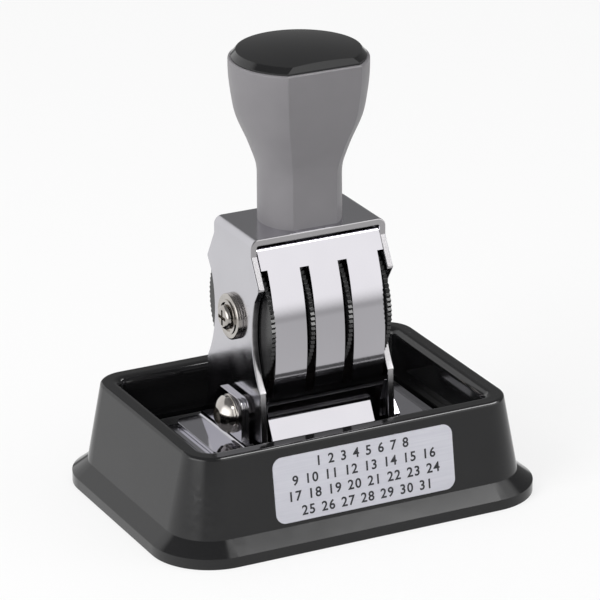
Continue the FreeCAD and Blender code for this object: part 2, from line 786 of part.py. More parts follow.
def both_ends(shape):
    """A right-hand rear fastener and the same one turned to the left front."""
    return [shape, half_turned(shape)]


def axle_screws():
    """Two pan head screws with a cross recess, one in each end of the axle."""
    seat = frame_side + axle_washer_thickness + cup_washer_thickness - cup_dish_depth
    shank = side_rod(axle_screw_diameter / 2, frame_side - axle_screw_depth, seat, 0, axle_z)
    head = side_rod(axle_head_diameter / 2, seat, seat + axle_head_height, 0, axle_z)
    front = seat + axle_head_height
    rim = [e for e in head.Edges if e.CenterOfMass.x > front - same_place and len(e.Vertexes) == 1]
    head = head.makeFillet(axle_head_round, rim)
    screw = shank.fuse(head)
    half, reach = cross_width / 2, cross_reach / 2
    low, high = front - cross_depth, front + overrun
    recess = box(low, high, -reach, reach, axle_z - half, axle_z + half)
    recess = recess.fuse(box(low, high, -half, half, axle_z - reach, axle_z + reach))
    return both_sides(screw.cut(recess).removeSplitter())


def washer(x0, thickness, diameter, bore, y, z):
    """A flat washer with softened outer edges."""
    disc = side_rod(diameter / 2, x0, x0 + thickness, y, z)
    rims = [e for e in disc.Edges if len(e.Vertexes) == 1]
    disc = disc.makeFillet(washer_edge_round, rims)
    return disc.cut(side_rod(bore / 2, x0 - overrun, x0 + thickness + overrun, y, z))


def axle_washers():
    """One flat washer on each side plate, round the axle screw."""
    return both_sides(washer(frame_side, axle_washer_thickness, axle_washer_diameter,
                             axle_screw_diameter, 0, axle_z))


def cup_washers():
    """One cup washer under each axle screw, with a round rim and a low step round the dish for the head."""
    start = frame_side + axle_washer_thickness
    rim_end = start + cup_washer_thickness - cup_step_height
    disc = side_rod(axle_washer_diameter / 2, start, rim_end, 0, axle_z)
    outer_rim = [e for e in disc.Edges if len(e.Vertexes) == 1 and e.CenterOfMass.x > rim_end - same_place]
    disc = disc.makeFillet(min(cup_rim_round, cup_washer_thickness - 2 * cup_step_height), outer_rim)
    disc = disc.fuse(side_rod(cup_step_diameter / 2, start, rim_end + cup_step_height, 0, axle_z))
    dish_floor = start + cup_washer_thickness - cup_dish_depth
    disc = disc.cut(side_rod(cup_dish_diameter / 2, dish_floor, rim_end + overrun, 0, axle_z))
    bore = side_rod(axle_screw_diameter / 2, start - overrun, rim_end + overrun, 0, axle_z)
    return both_sides(disc.cut(bore).removeSplitter())


def clamp_seat():
    """Where the clamp screw's washers start, just outside the wing's tab."""
    return tab_outside + tab_play


def clamp_washers():
    """One flat washer on each wing's tab."""
    return both_ends(washer(clamp_seat(), clamp_washer_thickness, clamp_washer_diameter,
                            clamp_screw_diameter, clamp_forward, clamp_z))


def spring_washers():
    """One split spring washer under each clamp screw."""
    start = clamp_seat() + clamp_washer_thickness
    end = start + spring_washer_thickness
    ring = washer(start, spring_washer_thickness, spring_washer_diameter, clamp_screw_diameter,
                  clamp_forward, clamp_z)
    half = spring_washer_slit / 2
    slit = box(start - overrun, end + overrun, clamp_forward - half, clamp_forward + half,
               clamp_z, clamp_z + spring_washer_diameter)
    return both_ends(ring.cut(slit))


def clamp_spacers():
    """One plain spacer between each side plate and the bracket's tab."""
    return both_ends(washer(frame_side, spacer_thickness, spacer_diameter, clamp_screw_diameter,
                            clamp_forward, clamp_z))


def clamp_screws():
    """Two button head screws with a hexagon socket, into the lugs of the bridge."""
    seat = clamp_seat() + clamp_washer_thickness + spring_washer_thickness
    shank = side_rod(clamp_screw_diameter / 2, lug_inside, seat, clamp_forward, clamp_z)
    radius, height = clamp_head_diameter / 2, clamp_head_height
    ball = (radius * radius + height * height) / (2 * height)
    dome = Part.makeSphere(ball, V(seat + height - ball, clamp_forward, clamp_z))
    dome = dome.common(side_rod(radius, seat, seat + height, clamp_forward, clamp_z))
    corner = clamp_socket / math.sqrt(3)
    turns = [math.pi * i / 3 for i in range(6)]
    points = [(clamp_forward + corner * math.cos(t), clamp_z + corner * math.sin(t)) for t in turns]
    socket = side_profile(points, seat + height - clamp_socket_depth, seat + height + overrun)
    dome = dome.cut(side_rod(clamp_ring_diameter / 2, seat + height - clamp_ring_depth,
                             seat + height + overrun, clamp_forward, clamp_z))
    return both_ends(shank.fuse(dome).cut(socket).removeSplitter())


def handle_radius_points():
    """The handle's radius at a row of heights."""
    flare = handle_top_radius - handle_neck_radius
    return [(handle_neck_radius + flare * r, frame_top + handle_height * h)
            for h, r in zip(handle_height_shares, handle_flare_shares)]


def handle():
    """The grip: round section that widens upwards, with one flat at the front."""
    places = handle_radius_points()
    curve = Part.BSplineCurve()
    curve.interpolate([V(r, 0, z) for r, z in places])
    top, foot = V(0, 0, handle_top), V(0, 0, frame_top)
    edges = [curve.toShape(), Part.LineSegment(V(handle_top_radius, 0, handle_top), top).toShape(),
             Part.LineSegment(top, foot).toShape(),
             Part.LineSegment(foot, V(handle_neck_radius, 0, frame_top)).toShape()]
    grip = Part.Face(Part.Wire(edges)).revolve(V(0, 0, 0), Z_AXIS, full_turn)
    grip = grip.cut(front_flat_cutter(places))
    lip = [e for e in grip.Edges if all(abs(v.Point.z - handle_top) < same_place for v in e.Vertexes)]
    grip = grip.makeFillet(handle_lip_round, lip)
    grip = grip.cut(d_plate(cap_inset, handle_top - cap_recess, handle_top + overrun))
    bore_foot = handle_top - cap_recess - handle_bore_depth
    grip = grip.cut(rod(handle_bore_radius, handle_bore_depth + overrun, V(0, 0, bore_foot), Z_AXIS))
    grip = grip.cut(rod(insert_diameter / 2, insert_length, V(0, 0, frame_top), Z_AXIS))
    return grip.cut(rod(bolt_diameter / 2 + hole_clearance, bore_foot - frame_top + overrun,
                        V(0, 0, frame_top), Z_AXIS))


def front_flat_cutter(places):
    """What lies in front of the handle's flat, which follows the handle's own curve."""
    x = -2 * handle_top_radius
    curve = Part.BSplineCurve()
    curve.interpolate([V(x, -handle_flat_share * r, z) for r, z in places])
    far = -2 * handle_top_radius
    top_y = -handle_flat_share * handle_top_radius
    foot_y = -handle_flat_share * handle_neck_radius
    corners = [V(x, top_y, handle_top), V(x, top_y, handle_top + overrun), V(x, far, handle_top + overrun),
               V(x, far, frame_top - overrun), V(x, foot_y, frame_top - overrun), V(x, foot_y, frame_top)]
    edges = [curve.toShape()] + [Part.LineSegment(a, b).toShape() for a, b in zip(corners, corners[1:])]
    return Part.Face(Part.Wire(Part.__sortEdges__(edges))).extrude(V(4 * handle_top_radius, 0, 0))


def d_plate(inset, z0, z1):
    """A round plate with the handle's front flat, drawn in from the handle's rim."""
    radius = handle_top_radius - inset
    flat_y = -(handle_flat_share * handle_top_radius - inset)
    disc = rod(radius, z1 - z0, V(0, 0, z0), Z_AXIS)
    return disc.cut(box(-2 * radius, 2 * radius, -2 * radius, flat_y, z0 - overrun, z1 + overrun))


def handle_cap():
    """The crowned cap in the handle's top, bevelled all round and along the flat."""
    radius = handle_top_radius - cap_inset
    seat = handle_top - cap_recess
    edge_z = handle_top + cap_edge_height
    bevel_z = edge_z + cap_bevel_height
    crown_z = bevel_z + cap_crown_height
    inner = radius - cap_bevel_inset
    ball = (inner * inner + cap_crown_height ** 2) / (2 * cap_crown_height)
    lean = math.asin(inner / ball) / 2
    crown_middle = V(ball * math.sin(lean), 0, crown_z - ball + ball * math.cos(lean))
    edges = [Part.LineSegment(V(0, 0, seat), V(radius, 0, seat)).toShape(),
             Part.LineSegment(V(radius, 0, seat), V(radius, 0, edge_z)).toShape(),
             Part.LineSegment(V(radius, 0, edge_z), V(inner, 0, bevel_z)).toShape(),
             Part.Arc(V(inner, 0, bevel_z), crown_middle, V(0, 0, crown_z)).toShape(),
             Part.LineSegment(V(0, 0, crown_z), V(0, 0, seat)).toShape()]
    cap = Part.Face(Part.Wire(edges)).revolve(V(0, 0, 0), Z_AXIS, full_turn)
    flat_y = -(handle_flat_share * handle_top_radius - cap_inset)
    cap = cap.cut(box(-2 * radius, 2 * radius, -2 * radius, flat_y, seat - overrun, crown_z + overrun))
    slope = cap_bevel_height / cap_front_bevel
    rise = 2 * overrun
    front = side_profile([(flat_y - overrun, edge_z - slope * overrun),
                          (flat_y + rise, edge_z + slope * rise),
                          (flat_y + rise, crown_z + rise), (flat_y - overrun, crown_z + rise)],
                         -2 * radius, 2 * radius)
    plug_radius = handle_bore_radius - cap_plug_fit
    plug = rod(plug_radius, cap_plug_depth, V(0, 0, seat - cap_plug_depth), Z_AXIS)
    return cap.cut(front).fuse(plug).removeSplitter()


def handle_insert():
    """The threaded insert in the foot of the handle."""
    sleeve = rod(insert_diameter / 2, insert_length, V(0, 0, frame_top), Z_AXIS)
    return sleeve.cut(rod(bolt_diameter / 2, insert_length, V(0, 0, frame_top), Z_AXIS))


def bolt_levels():
    """Heights of the clamp plate's underside and the bolt head's underside."""
    plate_top = frame_under - guard_top_gap - guard_sheet
    plate_foot = plate_top - clamp_plate_thickness
    return plate_top, plate_foot, plate_foot - bolt_head_height


def handle_bolt():
    """The hexagon bolt that holds the handle, from under the frame."""
    plate_foot, head_foot = bolt_levels()[1:]
    corner = bolt_head_width / math.sqrt(3)
    turns = [math.pi * i / 3 for i in range(7)]
    ring = [V(corner * math.cos(t), corner * math.sin(t), head_foot) for t in turns]
    head = Part.Face(Part.makePolygon(ring)).extrude(V(0, 0, bolt_head_height))
    shank = rod(bolt_diameter / 2, frame_top + bolt_engagement - plate_foot, V(0, 0, plate_foot), Z_AXIS)
    return head.fuse(shank).removeSplitter()


def bolt_plate(width, depth, z0, z1):
    """A small plate with a hole for the handle bolt."""
    plate = box(-width / 2, width / 2, -depth / 2, depth / 2, z0, z1)
    return plate.cut(rod(bolt_diameter / 2 + hole_clearance, z1 - z0, V(0, 0, z0), Z_AXIS))


def build():
    """Makes every piece and writes its file."""
    os.makedirs("parts", exist_ok=True)
    save("tray_shell", [tray_shell()])
    save("pad_case", [pad_case()])
    save("ink_pad", [ink_pad()])
    save("number_label", [number_label()])

    save("text_die", [text_die()])
    save("die_plate", [die_plate()])
    save("base_bracket", [base_bracket()])
    save("left_wing", [wing()])
    save("right_wing", [half_turned(wing())])

    save("frame_yoke", [frame_yoke()])
    save("wheel_axle", [wheel_axle()])
    outer_drum_end, inner_drum_end = drum_inner_end, middle_gap / 2
    save("month_wheel", [mirrored(thumb_wheel(outer_wheel_offset, outer_drum_end))])
    save("day_tens_wheel", [mirrored(thumb_wheel(inner_wheel_offset, inner_drum_end))])
    save("day_units_wheel", [thumb_wheel(inner_wheel_offset, inner_drum_end)])
    save("year_wheel", [thumb_wheel(outer_wheel_offset, outer_drum_end)])

    save("band_bridge", [band_bridge()])
    save("month_band", [print_band(-band_outer_edge, -band_inner_edge)])
    save("day_tens_band", [print_band(-digit_outer_edge, -digit_inner_edge)])
    save("day_units_band", [print_band(digit_inner_edge, digit_outer_edge)])
    save("year_band", [print_band(band_inner_edge, band_outer_edge)])

    save("front_guard", [guard()])
    save("rear_guard", [half_turned(guard())])
    save("axle_screws", axle_screws())
    save("axle_washers", axle_washers())
    save("cup_washers", cup_washers())
    save("clamp_screws", clamp_screws())
    save("clamp_washers", clamp_washers())
    save("spring_washers", spring_washers())
    save("clamp_spacers", clamp_spacers())

    save("handle", [handle()])
    save("handle_cap", [handle_cap()])
    save("handle_insert", [handle_insert()])
    save("handle_bolt", [handle_bolt()])
    plate_top, plate_foot, head_foot = bolt_levels()
    save("guard_clamp_plate", [bolt_plate(clamp_plate_width, clamp_plate_depth, plate_foot, plate_top)])
    save("guard_spacer_plate", [bolt_plate(spacer_plate_width, clamp_plate_depth,
                                           frame_under - guard_top_gap, frame_under)])


build()
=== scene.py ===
import logging
import math
from dataclasses import dataclass, field
from enum import Enum

import bmesh
import bpy
from mathutils import Matrix, Vector, noise


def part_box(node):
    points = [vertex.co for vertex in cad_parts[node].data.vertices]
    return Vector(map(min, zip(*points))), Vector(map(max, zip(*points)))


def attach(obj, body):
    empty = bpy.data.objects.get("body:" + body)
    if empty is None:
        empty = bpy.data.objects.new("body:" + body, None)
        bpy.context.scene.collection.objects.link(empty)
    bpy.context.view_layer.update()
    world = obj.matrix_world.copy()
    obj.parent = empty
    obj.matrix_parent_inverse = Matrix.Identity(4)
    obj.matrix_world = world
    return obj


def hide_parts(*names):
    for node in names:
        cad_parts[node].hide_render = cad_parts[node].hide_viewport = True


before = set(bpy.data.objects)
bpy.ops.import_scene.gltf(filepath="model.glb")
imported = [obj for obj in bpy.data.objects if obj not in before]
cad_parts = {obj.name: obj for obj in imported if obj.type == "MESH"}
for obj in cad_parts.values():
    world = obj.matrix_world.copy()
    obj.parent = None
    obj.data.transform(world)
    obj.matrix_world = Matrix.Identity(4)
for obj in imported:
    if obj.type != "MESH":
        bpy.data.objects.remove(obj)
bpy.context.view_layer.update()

LOG = logging.getLogger("date_stamp")
MM = 0.001
SURFACE_NODE = "ShaderNodeBsdfPrincipled"
WHITE = (1.0, 1.0, 1.0, 1.0)
# The noise seldom leaves these values, so they are stretched to a pattern's own limits.
CLOUD_LOW, CLOUD_HIGH = 0.3, 0.7
# How far apart two points in metres may be and still count as one.
SAME_PLACE = 1e-9
# How the sharp edges of the plated sheets are broken.
JOIN_MM = 0.001
BROKEN_EDGE_STEPS = 2
SHARP_FROM_DEGREES = 38


def linear(hex_colour: str) -> tuple[float, float, float, float]:
    """Turns an sRGB hex colour to linear RGBA.

    Args:
        hex_colour: six hex digits after a hash sign.

    Returns:
        Red, green, blue and alpha, each from 0 to 1.
    """
    parts = [int(hex_colour[i:i + 2], 16) / 255 for i in (1, 3, 5)]
    red, green, blue = [c / 12.92 if c <= 0.04045 else ((c + 0.055) / 1.055) ** 2.4 for c in parts]
    return red, green, blue, 1.0


def add_node(tree: bpy.types.NodeTree, kind: str, settings: dict | None = None,
             links: dict | None = None) -> bpy.types.Node:
    """Adds one node with its settings and its incoming links.

    Args:
        tree: the node tree that gets the node.
        kind: the node's type name.
        settings: values by input name or number, or by the node's own property name.
        links: output sockets by input name or number.

    Returns:
        The new node.
    """
    node = tree.nodes.new(kind)
    for key, value in (settings or {}).items():
        if isinstance(key, int) or key in node.inputs:
            node.inputs[key].default_value = value
        else:
            setattr(node, key, value)
    for key, source in (links or {}).items():
        tree.links.new(source, node.inputs[key])
    return node


def patches(tree: bpy.types.NodeTree, size_mm: float, low: float, high: float,
            stretch: tuple[float, float, float] = (1.0, 1.0, 1.0),
            detail: float = 2.0) -> bpy.types.NodeSocket:
    """A value that drifts between two limits in patches of a real size.

    Args:
        tree: the material's node tree.
        size_mm: how far apart two like patches are.
        low: the least value.
        high: the greatest value.
        stretch: how much finer the pattern is along each axis.
        detail: how many finer layers it has.

    Returns:
        The socket that gives the value.
    """
    place = add_node(tree, "ShaderNodeTexCoord")
    spread = add_node(tree, "ShaderNodeMapping", {"Scale": stretch}, {"Vector": place.outputs["Object"]})
    cloud = add_node(tree, "ShaderNodeTexNoise", {"Scale": 1 / (size_mm * MM), "Detail": detail},
                     {"Vector": spread.outputs["Vector"]})
    level = add_node(tree, "ShaderNodeMapRange",
                     {"From Min": CLOUD_LOW, "From Max": CLOUD_HIGH, "To Min": low, "To Max": high},
                     {"Value": cloud.outputs["Fac"]})
    return level.outputs["Result"]


def relief(tree: bpy.types.NodeTree,
           layers: list[tuple[bpy.types.NodeSocket, float]]) -> bpy.types.NodeSocket:
    """A surface normal bent by one or more height patterns.

    Args:
        tree: the material's node tree.
        layers: each pattern's socket, from 0 to 1, with its depth in millimetres.

    Returns:
        The socket that gives the normal.
    """
    normal = None
    for height, depth_mm in layers:
        bump = add_node(tree, "ShaderNodeBump", {"Distance": depth_mm * MM}, {"Height": height})
        if normal is not None:
            tree.links.new(normal, bump.inputs["Normal"])
        normal = bump.outputs["Normal"]
    return normal


def shaded(tree: bpy.types.NodeTree, dark: str, pale: str,
           share: bpy.types.NodeSocket) -> bpy.types.NodeSocket:
    """A colour between two others.

    Args:
        tree: the material's node tree.
        dark: the first colour, in hex.
        pale: the second colour, in hex.
        share: the socket that gives the second colour's share.

    Returns:
        The socket that gives the colour.
    """
    mix = add_node(tree, "ShaderNodeMix", {"data_type": "RGBA", 6: linear(dark), 7: linear(pale)},
                   {0: share})
    return mix.outputs[2]


def along_axis(tree: bpy.types.NodeTree, way: bpy.types.NodeSocket, axis: Vector) -> bpy.types.NodeSocket:
    """How far a direction goes along an axis.

    Args:
        tree: the world's node tree.
        way: the socket that gives the direction.
        axis: the axis.

    Returns:
        The socket that gives the dot product of the two.
    """
    dot = add_node(tree, "ShaderNodeVectorMath", {"operation": "DOT_PRODUCT", 1: axis}, {0: way})
    return dot.outputs["Value"]


class CutEdges(Enum):
    """Which way the cut edges of a bent sheet face, so that they can be told from its plated faces."""
    ACROSS = 0
    ALONG = 1


@dataclass(frozen=True)
class Finish:
    """One surface finish: a material's name, colours and gloss."""
    name: str
    dark: str
    pale: str
    roughness: float

    def material(self) -> bpy.types.Material:
        """Makes the material from the finish's own surface shader."""
        material = bpy.data.materials.new(self.name)
        material.use_nodes = True
        tree = material.node_tree
        tree.nodes.clear()
        shader = self.surface(tree)
        add_node(tree, "ShaderNodeOutputMaterial", None, {"Surface": shader.outputs[0]})
        material.diffuse_color = linear(self.pale)
        return material

    def surface(self, tree: bpy.types.NodeTree) -> bpy.types.Node:
        """The shader that the finish ends in."""
        raise NotImplementedError


@dataclass(frozen=True)
class MouldedPlastic(Finish):
    """Injection moulded plastic: even colour, a slow ripple and, where the mould has one, a grain."""
    ior: float = 1.5
    ripple_mm: float = 6.0
    ripple_depth_mm: float = 0.004
    grain_mm: float = 0.8
    grain_depth_mm: float = 0.0
    gloss_drift: float = 0.03
    gloss_mm: float = 9.0
    tone_mm: float = 14.0

    def surface(self, tree: bpy.types.NodeTree) -> bpy.types.Node:
        """Plastic with a drifting gloss, so that its reflections are not those of glass."""
        colour = shaded(tree, self.dark, self.pale, patches(tree, self.tone_mm, 0.0, 1.0))
        gloss = patches(tree, self.gloss_mm, self.roughness - self.gloss_drift,
                        self.roughness + self.gloss_drift)
        layers = [(patches(tree, self.ripple_mm, 0.0, 1.0, detail=0.0), self.ripple_depth_mm)]
        if self.grain_depth_mm:
            layers.append((patches(tree, self.grain_mm, 0.0, 1.0, detail=3.0), self.grain_depth_mm))
        return add_node(tree, SURFACE_NODE, {"IOR": self.ior},
                        {"Base Color": colour, "Roughness": gloss, "Normal": relief(tree, layers)})


@dataclass(frozen=True)
class PlatedSheet(Finish):
    """Bent steel sheet with bright plating: mirror faces with a slow ripple, and rougher cut edges."""
    cut: CutEdges
    ripple_mm: float = 12.0
    ripple_depth_mm: float = 0.012
    edge_colour: str = "#C4C2C4"
    edge_roughness: float = 0.2
    edge_from: float = 0.72
    edge_full: float = 0.9
    tone_mm: float = 22.0
    gloss_mm: float = 7.0
    gloss_spread: float = 1.8
    score_mm: float = 0.5
    score_depth_mm: float = 0.0015

    def surface(self, tree: bpy.types.NodeTree) -> bpy.types.Node:
        """Mirror plating that is duller where the sheet was cut before it was plated."""
        place = add_node(tree, "ShaderNodeTexCoord")
        facing = add_node(tree, "ShaderNodeSeparateXYZ", None, {"Vector": place.outputs["Normal"]})
        size = add_node(tree, "ShaderNodeMath", {"operation": "ABSOLUTE"}, {0: facing.outputs[self.cut.value]})
        edge = add_node(tree, "ShaderNodeMapRange",
                        {"interpolation_type": "SMOOTHSTEP", "From Min": self.edge_from,
                         "From Max": self.edge_full}, {"Value": size.outputs[0]})
        face = shaded(tree, self.dark, self.pale, patches(tree, self.tone_mm, 0.0, 1.0))
        colour = add_node(tree, "ShaderNodeMix", {"data_type": "RGBA", 7: linear(self.edge_colour)},
                          {0: edge.outputs["Result"], 6: face})
        smear = patches(tree, self.gloss_mm, self.roughness, self.roughness * self.gloss_spread,
                        (0.4, 1.0, 1.0))
        gloss = add_node(tree, "ShaderNodeMix", {"data_type": "FLOAT", 3: self.edge_roughness},
                         {0: edge.outputs["Result"], 2: smear})
        # Rolled and sheared steel has scores about 0.1 mm apart, drawn at 0.5 mm so that they show.
        scores = patches(tree, self.score_mm, 0.0, 1.0, (1.0, 1.0, 0.3))
        ripple = patches(tree, self.ripple_mm, 0.0, 1.0, detail=0.0)
        normal = relief(tree, [(ripple, self.ripple_depth_mm), (scores, self.score_depth_mm)])
        return add_node(tree, SURFACE_NODE, {"Metallic": 1.0},
                        {"Base Color": colour.outputs[2], "Roughness": gloss.outputs[0], "Normal": normal})


@dataclass(frozen=True)
class BrightMetal(Finish):
    """Turned, milled or barrel-plated metal: warm or cool colour and fine tool lines along one axis."""
    line_mm: float = 0.4
    line_stretch: tuple[float, float, float] = (1.0, 1.0, 1.0)
    line_depth_mm: float = 0.002
    tone_mm: float = 5.0
    gloss_mm: float = 2.5
    gloss_least: float = 0.8
    gloss_most: float = 1.3

    def surface(self, tree: bpy.types.NodeTree) -> bpy.types.Node:
        """Metal whose gloss drifts and whose tool lines catch the light."""
        colour = shaded(tree, self.dark, self.pale, patches(tree, self.tone_mm, 0.0, 1.0))
        gloss = patches(tree, self.gloss_mm, self.roughness * self.gloss_least,
                        self.roughness * self.gloss_most)
        lines = patches(tree, self.line_mm, 0.0, 1.0, self.line_stretch, 3.0)
        return add_node(tree, SURFACE_NODE, {"Metallic": 1.0},
                        {"Base Color": colour, "Roughness": gloss,
                         "Normal": relief(tree, [(lines, self.line_depth_mm)])})


@dataclass(frozen=True)
class VulcanisedRubber(Finish):
    """Moulded rubber: dull, slightly chalky, with a fine matt grain."""
    grain_mm: float = 0.5
    grain_depth_mm: float = 0.02
    tone_mm: float = 3.0
    ior: float = 1.52

    def surface(self, tree: bpy.types.NodeTree) -> bpy.types.Node:
        """Matt rubber with a dry grain and paler worn patches."""
        colour = shaded(tree, self.dark, self.pale, patches(tree, self.tone_mm, 0.0, 1.0, detail=4.0))
        grain = patches(tree, self.grain_mm, 0.0, 1.0, detail=3.0)
        return add_node(tree, SURFACE_NODE, {"IOR": self.ior, "Roughness": self.roughness},
                        {"Base Color": colour, "Normal": relief(tree, [(grain, self.grain_depth_mm)])})


@dataclass(frozen=True)
class InkedCloth(Finish):
    """Woven cloth over felt, soaked with stamp ink: dark, slightly moist, with the weave still showing."""
    thread_mm: float = 0.9
    thread_depth_mm: float = 0.09
    thread_wander: float = 0.6
    fuzz_mm: float = 0.7
    fuzz_depth_mm: float = 0.04
    gloss_mm: float = 11.0
    gloss_drift: float = 0.12
    sheen: float = 0.15
    sheen_roughness: float = 0.5
    ior: float = 1.45

    def surface(self, tree: bpy.types.NodeTree) -> bpy.types.Node:
        """Two crossing sets of threads, with the colour darker between them and paler where they cross."""
        # Real pad cloth has threads about 0.4 mm apart, drawn at 0.9 mm so that the weave shows.
        place = add_node(tree, "ShaderNodeTexCoord")
        count = math.pi / (10 * self.thread_mm * MM)
        bands = []
        for direction in ("X", "Y"):
            wave = add_node(tree, "ShaderNodeTexWave",
                            {"bands_direction": direction, "Scale": count,
                             "Distortion": self.thread_wander, "Detail": 1.0},
                            {"Vector": place.outputs["Object"]})
            bands.append(wave.outputs["Fac"])
        weave = add_node(tree, "ShaderNodeMath", {"operation": "MULTIPLY"}, {0: bands[0], 1: bands[1]})
        # The colour follows the weave's relief: darker between the threads, paler where they cross.
        colour = shaded(tree, self.dark, self.pale, weave.outputs[0])
        gloss = patches(tree, self.gloss_mm, self.roughness - self.gloss_drift,
                        self.roughness + self.gloss_drift)
        fuzz = patches(tree, self.fuzz_mm, 0.0, 1.0, detail=4.0)
        normal = relief(tree, [(weave.outputs[0], self.thread_depth_mm), (fuzz, self.fuzz_depth_mm)])
        return add_node(tree, SURFACE_NODE,
                        {"IOR": self.ior, "Sheen Weight": self.sheen,
                         "Sheen Roughness": self.sheen_roughness},
                        {"Base Color": colour, "Roughness": gloss, "Normal": normal})


@dataclass(frozen=True)
class BrushedFoil(Finish):
    """Silver foil label stock: pale, satin, brushed along its length."""
    line_mm: float = 0.5
    line_depth_mm: float = 0.002
    gloss_mm: float = 8.0
    gloss_below: float = 0.04
    gloss_above: float = 0.06
    metal_share: float = 0.25

    def surface(self, tree: bpy.types.NodeTree) -> bpy.types.Node:
        """Satin foil whose brushed lines run the long way."""
        # Brushed foil has lines about 0.05 mm apart, drawn at 0.5 mm so that they show.
        lines = patches(tree, self.line_mm, 0.0, 1.0, (0.03, 1.0, 1.0), 3.0)
        colour = shaded(tree, self.dark, self.pale, lines)
        gloss = patches(tree, self.gloss_mm, self.roughness - self.gloss_below,
                        self.roughness + self.gloss_above)
        return add_node(tree, SURFACE_NODE, {"Metallic": self.metal_share},
                        {"Base Color": colour, "Roughness": gloss,
                         "Normal": relief(tree, [(lines, self.line_depth_mm)])})


class Slot(Enum):
    """The material slots, each with the finish that its nodes and pieces take."""
    # Injection moulded polystyrene, highly glossy: deep black with soft wide reflections.
    TRAY = ("tray_plastic", MouldedPlastic("moulded_polystyrene_black", "#19191A", "#1C1C1D", 0.085,
                                           ior=1.53, ripple_mm=16.0, ripple_depth_mm=0.01))
    # Stoved enamel on steel: black, a little less glossy than the tray.
    CASE = ("case_metal", MouldedPlastic("stoved_enamel_black", "#0D0D0E", "#151516", 0.22, ripple_mm=3.0,
                                         ripple_depth_mm=0.006))
    # Felt under cotton cloth, soaked in black ink: dark with a moist weave.
    PAD = ("pad_felt", InkedCloth("inked_cotton_over_felt", "#08080A", "#1B1B20", 0.5))
    # Aluminium foil with clear lacquer: pale silver grey, satin.
    LABEL = ("label_foil", BrushedFoil("brushed_foil_label", "#D0D0D9", "#D8D8E0", 0.38))
    # Bent steel sheet, nickel and chrome plated: a soft mirror with a slow ripple.
    FRAME = ("frame_chrome", PlatedSheet("chrome_plated_sheet", "#CBCACF", "#D0CFD4", 0.12,
                                         CutEdges.ALONG))
    # The same plating on the thinner guards, whose slots were punched: a sharper mirror.
    GUARD = ("guard_chrome", PlatedSheet("chrome_plated_guard", "#CDCBD0", "#D2D0D5", 0.05,
                                         CutEdges.ACROSS))
    # The same plating on the thin base sheets, as sharp a mirror as the guards.
    BASE = ("base_chrome", PlatedSheet("chrome_plated_base", "#C2C1C8", "#C9C8CE", 0.05, CutEdges.ALONG,
                                       ripple_mm=9.0))
    # Turned free-cutting steel: cool grey with rings round its axis.
    AXLE = ("axle_steel", BrightMetal("turned_steel", "#8E8E92", "#A4A4A8", 0.24, 0.5, (1.0, 0.1, 0.1)))
    # Barrel nickel plating: bright and a little warm, with faint marks from the barrel.
    NICKEL = ("fastener_nickel", BrightMetal("barrel_nickel", "#B2ADA8", "#C6C2BD", 0.13, 1.2))
    # Milled mild steel with a phosphate coat: dull dark grey.
    BRIDGE = ("bridge_steel", BrightMetal("phosphated_steel", "#5C5C60", "#6C6C70", 0.34, 0.6,
                                          (0.2, 1.0, 1.0)))
    # Moulded acetal: black with a low wide sheen.
    WHEEL = ("wheel_plastic", MouldedPlastic("moulded_acetal_black", "#131314", "#19191A", 0.22, ior=1.48,
                                             ripple_mm=2.0))
    # Vulcanised natural rubber, darkened by ink.
    BAND = ("band_rubber", VulcanisedRubber("vulcanised_band_rubber", "#1A1615", "#2C2624", 0.6))
    DIE = ("die_rubber", VulcanisedRubber("vulcanised_die_rubber", "#1C1817", "#302A27", 0.62))
    # Polypropylene with a spark-eroded mould grain: plain grey and satin.
    HANDLE = ("handle_plastic", MouldedPlastic("moulded_polypropylene_grey", "#7A787B", "#7F7D80", 0.42,
                                               ior=1.49, ripple_mm=9.0, ripple_depth_mm=0.006,
                                               grain_mm=0.7, grain_depth_mm=0.006))
    # Polished ABS: black and glassy.
    CAP = ("cap_plastic", MouldedPlastic("polished_abs_black", "#161617", "#1B1B1C", 0.07, ior=1.54,
                                         gloss_drift=0.02, ripple_mm=12.0, ripple_depth_mm=0.006))
    # Turned brass, never polished.
    BRASS = ("insert_brass", BrightMetal("turned_brass", "#B98F4A", "#C9A45C", 0.28, 0.5, (1.0, 1.0, 0.1)))

    def __init__(self, slot: str, finish: Finish) -> None:
        self.slot = slot
        self.finish = finish
        self.made: bpy.types.Material | None = None

    def material(self) -> bpy.types.Material:
        """The slot's material, made the first time that it is asked for."""
        if self.made is None:
            self.made = self.finish.material()
        return self.made


def dress(slot: Slot, *nodes: str) -> None:
    """Gives some of the frame's nodes a slot's material."""
    for name in nodes:
        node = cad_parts[name]
        node.data.materials.clear()
        node.data.materials.append(slot.material())
        LOG.info("dressed %s with %s", name, slot.finish.name)


def soften(width_mm: float, *nodes: str) -> None:
    """Breaks the sharp edges of some of the frame's nodes, as tumbling and plating do.

    Args:
        width_mm: how wide the broken edge is.
        nodes: the nodes' names.
    """
    for name in nodes:
        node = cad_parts[name]
        node.modifiers.new("joined_corners", "WELD").merge_threshold = JOIN_MM * MM
        bevel = node.modifiers.new("broken_edges", "BEVEL")
        bevel.width = width_mm * MM
        bevel.segments = BROKEN_EDGE_STEPS
        bevel.limit_method = "ANGLE"
        bevel.angle_limit = math.radians(SHARP_FROM_DEGREES)
        bevel.use_clamp_overlap = False
        weighted = node.modifiers.new("flat_faces", "WEIGHTED_NORMAL")
        weighted.mode = "FACE_AREA"
        weighted.keep_sharp = True
        LOG.info("softened %s", name)


